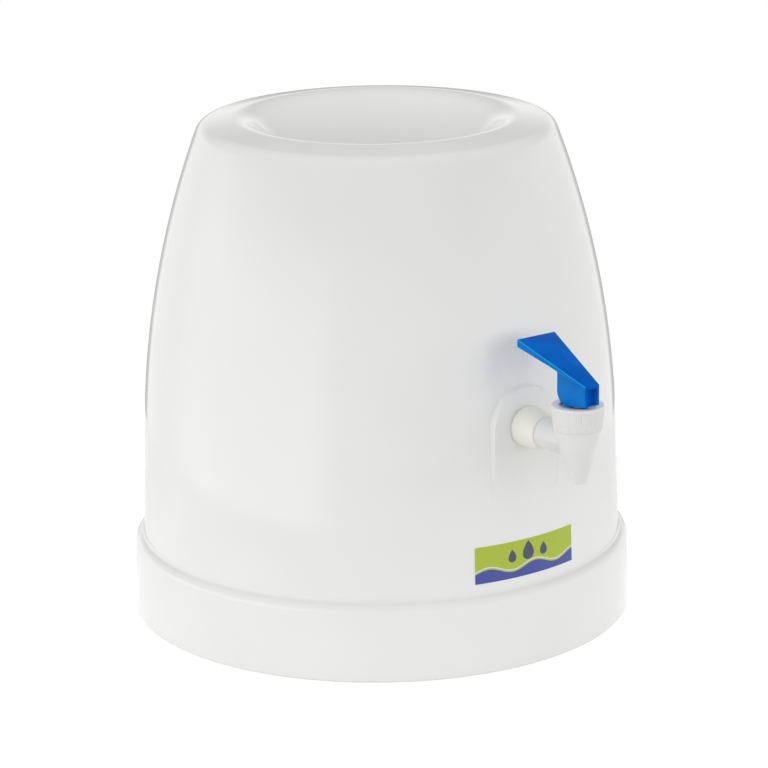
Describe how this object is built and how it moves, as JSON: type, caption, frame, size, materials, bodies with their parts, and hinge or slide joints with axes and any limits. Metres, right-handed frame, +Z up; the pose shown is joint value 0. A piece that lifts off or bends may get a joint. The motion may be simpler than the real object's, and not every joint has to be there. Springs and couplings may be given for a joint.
{
  "type": "bottled water dispenser",
  "caption": "Countertop gravity dispenser for an inverted water bottle: tapered dome shell with dished funnel top, base skirt, inner tank and a sprung lever tap.",
  "frame": {"origin": "centre of the base on the floor, on the axis of the shell and the bottle neck", "axes": "+Z up along the bottle neck, -Y towards the tap, X across the front"},
  "size_m": [0.2898, 0.3407, 0.289],
  "materials": {
    "shell_white": "glossy white moulded plastic",
    "base_white": "glossy white moulded plastic",
    "tank_natural": "natural food-grade plastic",
    "screw_steel": "zinc plated steel",
    "label_print": "printed plastic sticker",
    "tap_white": "glossy white moulded plastic",
    "lever_blue": "glossy blue moulded plastic",
    "silicone": "translucent silicone",
    "spring_steel": "stainless steel wire",
    "washer_steel": "stainless steel",
    "collar_cream": "cream moulded plastic",
    "washer_rubber": "white rubber"
  },
  "bodies": {
    "housing": {"outer_shell": "shell_white", "base_ring": "base_white", "water_tank": "tank_natural", "base_screws": "screw_steel", "front_label": "label_print", "tap_body": "tap_white", "tap_bonnet": "tap_white", "bonnet_gasket": "silicone", "stem_seal": "silicone", "tap_collar": "collar_cream", "outer_washer": "washer_rubber", "shank_sleeve": "tap_white", "inner_washer": "washer_rubber", "lock_nut": "tap_white"},
    "swivel": {"cam_washer": "washer_steel", "valve_spring": "spring_steel"},
    "stem": {"valve_stem": "tap_white", "valve_plug": "silicone", "lever_pin": "washer_steel"},
    "lever": {"tap_lever": "lever_blue"}
  },
  "joints": [
    {"name": "lever_swivel", "type": "hinge", "parent": "housing", "child": "swivel", "pos_m": [0, -0.18119, 0.1596], "axis": [0, 0, 1], "continuous": true},
    {"name": "stem_lift", "type": "slide", "parent": "swivel", "child": "stem", "axis": [0, 0, 1], "range_m": [0, 0.0022], "deforming": ["valve_spring"]},
    {"name": "lever_press", "type": "hinge", "parent": "stem", "child": "lever", "pos_m": [0, -0.18119, 0.16555], "axis": [-1, 0, 0], "range_deg": [0, 30], "stiffness_Nm_per_rad": 0.25, "springref_deg": -11.46}
  ],
  "couplings": [
    {"joint": "stem_lift", "follows": "lever_press", "m_per_rad": 0.0042}
  ]
}
